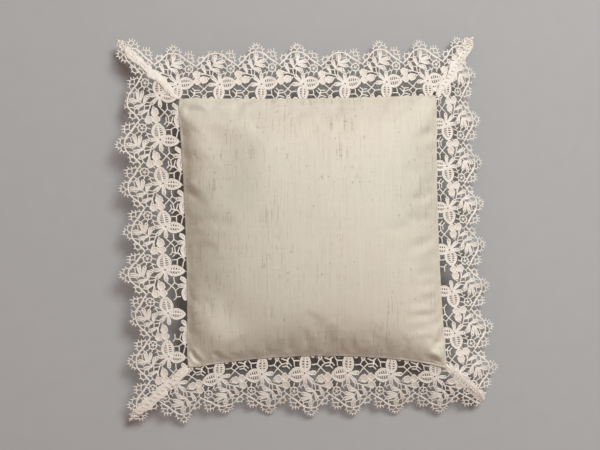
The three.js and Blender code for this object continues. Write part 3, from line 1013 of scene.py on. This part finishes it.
def draw_net(pattern):
    bars = [
        [(-4.4, 9.3), (-9.4, 9.5), (-11.4, 12.2), (-10.2, 14.6)], [(-9.4, 9.5), (-9.0, 4.8)],
        [(-13.2, 3.2), (-15.9, 5.3), (-20.4, 5.2)], [(-15.9, 5.3), (-15.4, 9.8)],
        [(-21.0, 11.2), (-17.6, 10.2), (-15.4, 9.9), (-12.8, 12.2), (-10.2, 14.7), (-5.6, 13.8),
         (-2.2, 13.2)],
        [(6.6, 6.2), (11.5, 6.8), (13.6, 9.6)], [(11.5, 6.8), (14.7, 4.2), (19.6, 0.0)],
        [(10.8, 0.2), (14.7, 4.2), (18.6, 7.0), (24.6, 7.6), (27.6, 5.4)], [(18.6, 7.0), (16.4, 9.8)],
        [(24.6, 7.6), (24.2, 11.4)], [(5.8, 12.2), (8.0, 12.6)], [(-8.6, 14.6), (-9.0, 18.0)],
        [(1.5, 15.2), (1.5, 18.2)], [(6.4, 12.0), (8.6, 15.2), (8.8, 18.2)],
    ]
    for bar in bars:
        cord(pattern, bar, *BAR)


def draw_half_flower(pattern):
    leaf(pattern, (14.3, 17.2), (14.5, 9.6), 2.0)
    leaf(pattern, (12.6, 16.6), (6.6, 11.8), 1.9)
    petal(pattern, (15.6, 17.0), (28.0, 14.8), 4.3)


HEADER_TOP = 22.5
# The pattern is drawn with its flowers this far apart, in mm.
DRAWN_REPEAT = 39.2
# Hand-guided stitching wobbles a little: height in mm, rate per mm, and the seed of its phase.
WOBBLE = 0.12
WOBBLE_RATE = 2.1
WOBBLE_SEED = 7


def draw_header(pattern):
    """The plain tape that the seam catches."""
    for level in (18.4, 20.2, 22.0):
        cord(pattern, [(-19.6, level), (0.0, level), (19.6, level)], 1.3, 0.6, step=3.2)
    for place in np.arange(-18.0, 19.6, 3.0):
        cord(pattern, [(place, 18.4), (place + 0.8, 22.0)], 0.9, 0.5, step=4.0)


def make_repeat():
    """One repeat's points and faces, and how many of the faces come before its net."""
    pattern = Pattern()
    for draw in (draw_flower, draw_trefoil, draw_sprig, draw_ring, draw_scallop, draw_picots,
                 draw_bars, draw_half_flower, draw_header):
        draw(pattern)
    sound = sum(len(part) for part in pattern.faces)
    draw_net(pattern)
    points, faces = pattern.arrays()
    phase = np.random.default_rng(WOBBLE_SEED).uniform(0, 6, (1, 2))
    points[:, :2] += WOBBLE * np.sin(points[:, 1::-1] * WOBBLE_RATE + phase)
    return points, faces, sound


repeat_points, repeat_faces, sound_faces = make_repeat()
print("one repeat has", len(repeat_points), "points and", len(repeat_faces), "faces")

# %% [markdown]
# ## Hanging the lace
# `lace_place` bends flat lace to its side of the pillow: out from the seam, down in a soft curve
# to the height of that side's edge, with a flutter of its own. Where scallop tips have been
# pressed under in storage, they roll round a small radius and end up beneath the rest.

# %% Bend flat lace to a side
ROLL_RADIUS = 1.3
# Towards its ends a roll starts further and further out, up to here, and past them there is none.
ROLL_END = 60.0
NO_ROLL = 99.0
# Lace that comes this near to the table, in mm, bends softly until it lies flat.
FLOOR_GAP = 0.7
FLOOR_BEND = 2.0
# Middle and half-length of each rolled stretch, and how far out its roll starts, in mm.
ROLLS = {
    "bottom": [],
    "right": [(118, 17, 41)],
    "top": [(86, 14, 43), (-22, 20, 43)],
    "left": [(-116, 14, 47), (-16, 7, 49), (9, 8, 49), (68, 10, 49)],
}
# Repeats whose fine net has worn away beside the seam, counted from each side's first flower.
TORN = {"bottom": [], "right": [1], "top": [], "left": [5]}
# How much further out (or in) the scallops lie than an even strip: (place along the side, mm).
REACH_TRIM = {
    "bottom": [(-147, 3), (-120, 7), (-80, -3), (-40, 0), (0, 2), (143, -1)],
    "right": [(-120, 5.5), (-62, 2), (-23, -1), (35, -2), (74, -1), (112, -4), (151, -6)],
    "top": [(-139, 8), (-100, 4.5), (-62, 5), (-23, 1.5), (16, 4.5), (74, 3), (112, 2), (151, 8)],
    "left": [(-151, 0), (-132, -4), (-93, 3.5), (-54, 2), (-6, -1.5), (34, 4), (78, -3), (139, 1)],
}
# How strongly each side flutters, and the length and height of its waves in mm.
FLUTTER = {"bottom": 1.0, "right": 1.3, "top": 1.0, "left": 0.8}
WAVE_SEED = 11
WAVE_SIZES = ((118, 1.5), (67, 1.3), (41, 1.0), (24, 0.4))
WAVES = {}
for place, name in enumerate(ORDER):
    rng = np.random.default_rng(WAVE_SEED + place)
    WAVES[name] = [(rng.uniform(0, 6.28), length, height) for length, height in WAVE_SIZES]


def lace_place(name, u, w, h):
    """u runs along the side, w outwards from the seam, h above the lace's middle, in mm."""
    side = SIDES[name]
    before, after = neighbours(name)
    roll_start = np.full_like(u, NO_ROLL)
    for middle, half, start in ROLLS[name]:
        faded = smoothstep(0.75, 1.0, np.abs(u - middle) / half)
        begins = np.where(faded < 1, start + (ROLL_END - start) * faded, NO_ROLL)
        roll_start = np.minimum(roll_start, begins)
    turn = np.clip((w - roll_start) / ROLL_RADIUS, 0, math.pi)
    past = np.maximum(w - roll_start - math.pi * ROLL_RADIUS, 0)
    flat = np.minimum(w, roll_start) + (ROLL_RADIUS + h) * np.sin(turn) - past
    rolled = ROLL_RADIUS * (np.cos(turn) - 1) + h * np.cos(turn)
    out = np.clip(flat / side["visible"], 0, 1.05)
    along = np.clip(u / side["seam_half"], -1, 1)
    pull = side["pull"] * (1 - along ** 2) * (1 - np.clip(out, 0, 1)) ** 2
    outward = np.where(flat > 0, flat * side["reach"] / side["visible"], flat)
    outward += np.interp(u, *zip(*REACH_TRIM[name])) * out
    next_drop = np.where(u < 0, before["drop"], after["drop"])
    next_reach = np.where(u < 0, before["reach"], after["reach"])
    to_corner = np.clip(np.abs(u) / (side["seam_half"] + out * next_reach), 0, 1) ** 3
    drop = side["drop"] + (next_drop - side["drop"]) / 2 * to_corner
    wave = sum(height * np.sin(2 * math.pi * u / length + phase)
               for phase, length, height in WAVES[name])
    wave = wave * FLUTTER[name] * out ** 1.4 * (1 - to_corner ** 3)
    z = seam_z - drop * out ** DROP_CURVE + wave + rolled
    bent = FLOOR_GAP + FLOOR_BEND * np.exp((z - FLOOR_GAP - FLOOR_BEND) / FLOOR_BEND)
    z = np.where(z < FLOOR_GAP + FLOOR_BEND, bent, z)
    before_trim = REACH_TRIM[further(name, -1)][-1][1]
    after_trim = REACH_TRIM[further(name, 1)][0][1]
    u = u + np.where(u < 0, -before_trim, after_trim) * out * to_corner
    edge = side["edge_half"] + outward - pull
    x, y = {"bottom": (u, -edge), "right": (edge, u), "top": (-u, edge), "left": (-edge, -u)}[name]
    return lean(np.stack([x, y, z], axis=1))


print("rolled stretches on each side:", [len(ROLLS[name]) for name in ORDER])

# %% [markdown]
# ## Turning the corners
# A straight edging cannot turn a corner, so the surplus is pleated under along the diagonal and
# whipped down: a mitre. The pleats are worked out, not drawn. Lace that lies past the diagonal
# runs back under the strip for the depth of a pleat, then out again to the diagonal, and so on,
# a little lower each time. The layers of openwork together look nearly solid.

# %% Fold the surplus under
# How deep each corner's pleats are, how far the two sides overlap, how far each layer lies under
# the one before, and the least height over the table, in mm.
PLEAT_DEPTH = {"bottom_right": 5.6, "right_top": 7.0, "top_left": 5.0, "left_bottom": 5.2}
PLEAT_LAYERS = 4
SIDES_OVERLAP = 1.0
LAYER_DROP = 0.4
LOWEST = 0.3
# At one corner the tip itself is turned under too, this far out along the diagonal.
TUCKED_TIPS = {"bottom_right": 45.0}
NEVER = 999.0
TUCK_DROP = 1.3
# Only lace this near to a corner, in mm, can be tucked there.
CORNER_ZONE = 30.0
# Each strip is made this much longer than it needs, in mm, so that its pleats are full.
SPARE = 40.0
# Folded lace is kept from so far out, and to so far from its edge, in mm.
FOLD_START = 3.0
FOLD_END = 2.0


def pleated(name, u, w):
    """Where lace ends up at the corners: its layer from 0 on, its new u and w, and its drop."""
    side = SIDES[name]
    before, after = neighbours(name)
    before_corner, after_corner = corner_names(name)
    spread = np.where(u < 0, before["reach"], after["reach"]) / side["visible"]
    depth = np.where(u < 0, PLEAT_DEPTH[before_corner], PLEAT_DEPTH[after_corner])
    a, b = np.abs(u) - side["seam_half"], w * spread
    beyond = (a - b) / math.sqrt(2) - SIDES_OVERLAP
    back = depth - np.abs(np.mod(beyond, 2 * depth) - depth)
    middle = (a + b) / 2
    inwards = (back - SIDES_OVERLAP) / math.sqrt(2)
    new_u = np.sign(u) * (side["seam_half"] + middle - inwards)
    new_w = (middle + inwards) / spread
    tip = np.where(u < 0, TUCKED_TIPS.get(before_corner, NEVER), TUCKED_TIPS.get(after_corner, NEVER))
    u = np.where(beyond > 0, new_u, u)
    w = np.where(beyond > 0, new_w, w)
    excess = np.maximum((np.abs(u) - side["seam_half"] + w * spread) / math.sqrt(2) - tip, 0)
    excess *= np.abs(u) > side["seam_half"] - CORNER_ZONE
    u -= np.sign(u) * math.sqrt(2) * excess
    w -= math.sqrt(2) * excess / spread
    return beyond / depth, u, w, TUCK_DROP * smoothstep(0, 0.8, excess)


def lay_side(name):
    """One side's strip, and what is folded under at its two corners: points, faces, heights."""
    side = SIDES[name]
    repeat, start = side["repeat"], side["first_flower"]
    reach = side["seam_half"] + side["visible"] + SPARE
    copies = range(math.floor((-reach - start) / repeat), math.ceil((reach - start) / repeat) + 1)
    flower_u = repeat_points[:, 0] * repeat / DRAWN_REPEAT + start
    u = np.concatenate([flower_u + copy * repeat for copy in copies])
    w = np.tile(HEADER_TOP - side["tuck"] - repeat_points[:, 1], len(copies))
    h = np.tile(repeat_points[:, 2], len(copies))
    faces = np.vstack([repeat_faces[:sound_faces if copy in TORN[name] else None]
                       + place * len(repeat_points) for place, copy in enumerate(copies)])
    layer, folded_u, folded_w, tuck_drop = pleated(name, u, w)
    placed = lace_place(name, folded_u, folded_w, h)
    lower = np.clip(layer + smoothstep(0, 0.15, layer) - 0.2, 0, PLEAT_LAYERS + 1)
    placed[:, 2] = np.maximum(placed[:, 2] - tuck_drop - LAYER_DROP * lower, LOWEST)
    face_layer = layer[faces].mean(axis=1)
    face_w = w[faces].mean(axis=1)
    face_u = u[faces].mean(axis=1)
    folded_out = folded_w[faces].mean(axis=1)
    strip = faces[(face_layer <= 0) & (face_w > -side["tuck"] - 1)]
    inside_fold = (face_layer > 0) & (face_layer < PLEAT_LAYERS)
    inside_fold &= (folded_out > FOLD_START) & (folded_out < side["visible"] - FOLD_END)
    folds = {}
    for corner, sign in zip(corner_names(name), (-1, 1)):
        kept = inside_fold & (np.sign(face_u) == sign)
        folds[corner] = (placed, faces[kept], h)
    return (placed, strip, h), folds


def lace_piece(name, points, faces, height):
    """A piece of lace whose relief, how far each point stands up in the cord, sets its painted shade.
    """
    used, renumbered = np.unique(faces, return_inverse=True)
    piece = new_piece(name, points[used], renumbered.reshape(faces.shape), lace_cotton)
    attribute = piece.data.attributes.new("relief", "FLOAT", "POINT")
    # The lower the relief, the darker the lace finish paints the point: painted shade in the hollows.
    attribute.data.foreach_set("value", smoothstep(-0.15, 0.42, height[used]))
    return closed_up(piece)


strips, fold_parts = {}, {}
for name in ORDER:
    strip, folds = lay_side(name)
    strips[name] = lace_piece(f"lace_edging_{name}", *strip)
    for corner, part in folds.items():
        fold_parts.setdefault(corner, []).append(part)
    print(name, "strip faces:", len(strips[name].data.polygons))

# %% [markdown]
# Pressed and whipped for years, the plies over each diagonal have felted together. Seen from
# above they are one smooth band, in which single cords no longer show. It is widest half-way out,
# and soft ridges run along it, one for each edge folded beneath.

# %% The pressed band of each mitre
# Points round it, then the distance from ring to ring, where it starts, and the length of its
# round ends, in mm.
BAND_AROUND = 28
BAND_STEP = 0.6
BAND_START = -1.0
BAND_TAPER = 3.0
# It ends this far from the scallops, in mm, or at this share of the way to a tucked tip.
BAND_SHORT = 9.0
BAND_TUCKED = 0.66
# Half its width in mm at stations on its way out, and each corner's share of that width.
BAND_STATIONS = (0, 0.15, 0.5, 0.8, 1)
BAND_HALVES = (2.4, 3.2, 4.8, 3.6, 2.0)
BAND_WIDTHS = {"bottom_right": 0.9, "right_top": 1.0, "top_left": 0.85, "left_bottom": 1.0}


def diagonal(corner):
    """The side a mitre is laid on, its spread there, and how far out its pressed part ends."""
    first = next(name for name in ORDER if corner.startswith(name + "_"))
    side = SIDES[first]
    spread = neighbours(first)[1]["reach"] / side["visible"]
    to_tip = TUCKED_TIPS.get(corner, NEVER) * BAND_TUCKED / spread
    last = min(side["visible"] - BAND_SHORT, to_tip)
    return first, spread, last


def beside_diagonal(first, spread, out, across):
    """u and w of a place so far out along the diagonal, and so far to one side of it."""
    aside = across / math.sqrt(2)
    return SIDES[first]["seam_half"] + out * spread + aside, out - aside / spread


def pressed_band(corner):
    """Points, faces and heights of a flat cushion of lace along the diagonal."""
    first, spread, last = diagonal(corner)
    seed = 7.3 * ORDER.index(first)
    outs = np.linspace(BAND_START, last, round((last - BAND_START) / BAND_STEP))
    turns = 2 * math.pi * np.arange(BAND_AROUND) / BAND_AROUND
    along, turn = np.meshgrid(outs, turns, indexing="ij")
    share = (along - BAND_START) / (last - BAND_START)
    half = BAND_WIDTHS[corner] * np.interp(share, BAND_STATIONS, BAND_HALVES)
    sway = lumps(outs * 0.13, seed, 1.0)[:, None]
    left, right = (0.7 * lumps(outs * 0.15, seed, row) + 0.5 * lumps(outs * 0.45, seed, row + 0.5)
                   for row in (5.0, 8.0))
    to_end = np.clip(np.minimum(along - BAND_START, last - along) / BAND_TAPER, 0, 1)
    taper = np.sqrt(1 - (1 - to_end) ** 2)
    edge = np.where(np.cos(turn) > 0, right[:, None], left[:, None])
    across = half * (1 + edge) * taper * np.cos(turn)
    ridge = np.cos(2.3 * across + 4.0 * sway + 0.1 * along)
    high = np.abs(np.sin(turn))
    dents = lumps(along * 0.35, across * 0.5, seed).reshape(along.shape)
    top = 0.12 + 0.72 * high ** 0.8 + (0.2 * ridge + 0.45 * dents) * high
    h = (taper * np.where(np.sin(turn) > 0, top, 0.12 - 0.7 * high)).ravel()
    along, across = along.ravel(), (across + 2.0 * sway).ravel()
    points = lace_place(first, *beside_diagonal(first, spread, along, across), h)
    # The relief follows the ridges, so the painted shade of the lace finish is a little darker between
    # them.
    return points, tube_faces(len(outs), BAND_AROUND), (0.3 + 0.1 * ridge).ravel()


folds = {}
for corner, parts in fold_parts.items():
    points, faces, heights = zip(*parts, pressed_band(corner))
    starts = np.cumsum([0, *map(len, points)])
    joined = np.vstack([part + start for part, start in zip(faces, starts)])
    folds[corner] = lace_piece(f"mitre_{corner}", np.vstack(points), joined, np.concatenate(heights))
    print(corner, "fold faces:", len(folds[corner].data.polygons))

# %% [markdown]
# ## Hand stitches
# Whip stitches hold each pleat: the thread wraps over the folded edge, dips through the lace, and
# runs on a few millimetres beneath. The gap left for turning the cover is closed the same way,
# from the underside of the lace to the back panel. Each is one thread, so one round tube.

# %% Thread along a route
THREAD_WIDTH = 0.4


def thread_piece(name, stops):
    """A thread of round section through 3-D stops given in mm."""
    route = smoothed(stops)
    tangent = np.gradient(route, axis=0)
    tangent /= np.linalg.norm(tangent, axis=1, keepdims=True)
    side = np.cross(tangent, np.roll(tangent, 3, axis=0) + [0.01, 0.02, 1.0])
    side /= np.linalg.norm(side, axis=1, keepdims=True)
    lift = np.cross(side, tangent)
    turn = (2 * math.pi * np.arange(CORD_SIDES) / CORD_SIDES)[:, None]
    ring = np.cos(turn) * side[:, None] + np.sin(turn) * lift[:, None]
    points = (route[:, None] + THREAD_WIDTH / 2 * ring).reshape(-1, 3)
    return closed_up(new_piece(name, points, tube_faces(len(route), CORD_SIDES), sewing_thread))


# %% Whip down the mitres and close the turning gap
MITRE_STITCHES = 11
# The first stitch lies so far out from the seam, the last so far short of the band's end, in mm.
FIRST_STITCH = 6.0
LAST_STITCH = 2.0
# Across and lift of the places that one whip stitch passes, in mm.
WHIP = [(1.3, -3.1), (1.7, -1.2), (1.1, 1.35), (-0.4, 1.6), (-1.5, 1.0), (-1.6, -2.4)]
CLOSING_STITCHES = 18
CLOSING_HALF = 45.0
# Along, out and lift of the places that one closing stitch passes, in mm.
LADDER = [(0.0, 1.6, -1.0), (0.8, 0.2, -1.9), (1.6, -1.6, -2.9), (3.4, -1.2, -3.2)]


def mitre_stops(corner):
    first, spread, last = diagonal(corner)
    stops = []
    for place in range(MITRE_STITCHES * len(WHIP)):
        across, lift = WHIP[place % len(WHIP)]
        share = place / len(WHIP) / MITRE_STITCHES
        out = FIRST_STITCH + share * (last - LAST_STITCH - FIRST_STITCH)
        stops.append((*beside_diagonal(first, spread, out, across), lift))
    return lace_place(first, *np.array(stops).T)


def closing_stops():
    starts = CLOSING_HALF * (2 * np.arange(CLOSING_STITCHES) / CLOSING_STITCHES - 1)
    stops = [(start + along, out, lift) for start in starts for along, out, lift in LADDER]
    return lace_place("bottom", *np.array(stops).T)


mitre_threads = {}
for corner in folds:
    mitre_threads[corner] = thread_piece(f"mitre_stitches_{corner}", mitre_stops(corner))
closing = thread_piece("closing_stitches", closing_stops())
print("stitches:", MITRE_STITCHES, "at each corner and", CLOSING_STITCHES, "over the gap")

# %% [markdown]
# The two machine threads lie inside, along the seam, where nobody sees them. The tubes of the
# design are already right, so they stay and only get the thread's finish.

# %% Finish of the machine threads
for node in ("seam_needle_thread", "seam_bobbin_thread"):
    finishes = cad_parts[node].data.materials
    finishes.clear()
    finishes.append(sewing_thread)
print("the machine threads wear", sewing_thread.name)

# %% [markdown]
# ## Light and table
# One broad lamp stands beyond the top of the pillow, a little to the right, low enough for the
# crown and the scallops to cast soft shadows. The room's own light is weak and warm, so that the
# shaded flanks of the silk turn to a soft brown rather than grey. Behind the table stands a plain
# pale backdrop, which is only seen and lights nothing.

# %% Lamp, room and table
# Places and sizes of the lamp and the table in metres.
LAMP_PLACE = (0.74, 1.01, 1.82)
LAMP_SIZE = 0.8
LAMP_POWER = 37.0
LAMP_COLOUR = (0.975, 1.0, 0.98)
ROOM_LIGHT = 0.31
ROOM_COLOUR = (1.0, 0.75, 0.66, 1)
BACKDROP_COLOUR = (0.52, 0.52, 0.51, 1)
TABLE_HALF = 2.5


def make_lamp():
    data = bpy.data.lights.new("window_lamp", "AREA")
    data.energy = LAMP_POWER
    data.color = LAMP_COLOUR
    data.size = LAMP_SIZE
    lamp = bpy.data.objects.new("window_lamp", data)
    bpy.context.collection.objects.link(lamp)
    lamp.location = LAMP_PLACE
    aim = Vector((0, 0, seam_z * MM)) - lamp.location
    lamp.rotation_euler = aim.to_track_quat("-Z", "Y").to_euler()


def make_room():
    world = bpy.data.worlds.new("soft_room")
    world.use_nodes = True
    nodes, links = world.node_tree.nodes, world.node_tree.links
    room = nodes["Background"]
    room.inputs["Color"].default_value = ROOM_COLOUR
    room.inputs["Strength"].default_value = ROOM_LIGHT
    backdrop = nodes.new("ShaderNodeBackground")
    backdrop.inputs["Color"].default_value = BACKDROP_COLOUR
    seen = nodes.new("ShaderNodeLightPath").outputs["Is Camera Ray"]
    chosen = nodes.new("ShaderNodeMixShader")
    for place, output in enumerate((seen, room.outputs[0], backdrop.outputs[0])):
        links.new(output, chosen.inputs[place])
    links.new(chosen.outputs[0], nodes["World Output"].inputs[0])
    bpy.context.scene.world = world


def make_table():
    material, tree, shader = new_material("pale_table", 0.8, specular=0.2)
    grain = stretched_noise(tree, 60.0, 4.0)
    colour = mix_colour(tree, grain, (0.43, 0.44, 0.45), (0.46, 0.47, 0.48))
    tree.links.new(colour, shader.inputs["Base Color"])
    half = TABLE_HALF / MM
    corners = [(-half, -half, 0), (half, -half, 0), (half, half, 0), (-half, half, 0)]
    new_piece("table", corners, [(0, 1, 2, 3)], material, smooth=False)


bpy.context.scene.view_settings.view_transform = "Standard"
make_lamp()
make_room()
make_table()
print("one lamp, a weak warm room and a table", 2 * TABLE_HALF, "m wide")

# %% [markdown]
# ## What each piece stands for
# Every piece rides on the one body and takes the place of its counterpart in the design. The
# silk is stretched over the filling. Each lace strip was cut as a straight edging and is gathered
# into the seam, with its pleats and stitches.

# %% Tie the pieces to the design
def tie(piece, node):
    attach(piece, "root")
    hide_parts(node)


tie(silk_front, "front_panel")
tie(silk_back, "back_panel")
tie(filling, "filling")
for name, piece in strips.items():
    tie(piece, f"lace_{name}")
for corner, piece in folds.items():
    tie(piece, f"mitre_fold_{corner}")
    tie(mitre_threads[corner], f"mitre_thread_{corner}")
tie(closing, "closing_thread")
print("tied", 4 + len(strips) + len(folds) + len(mitre_threads), "pieces to the design")

# %% [markdown]
# The panels were cut with a seam allowance all round. Each strip's flat area is a trapezium that
# is longer at the scallops than at the seam.

# %% Declare cloth and cushion
for name, piece in strips.items():
    side = SIDES[name]
    corner = corner_names(name)[1]
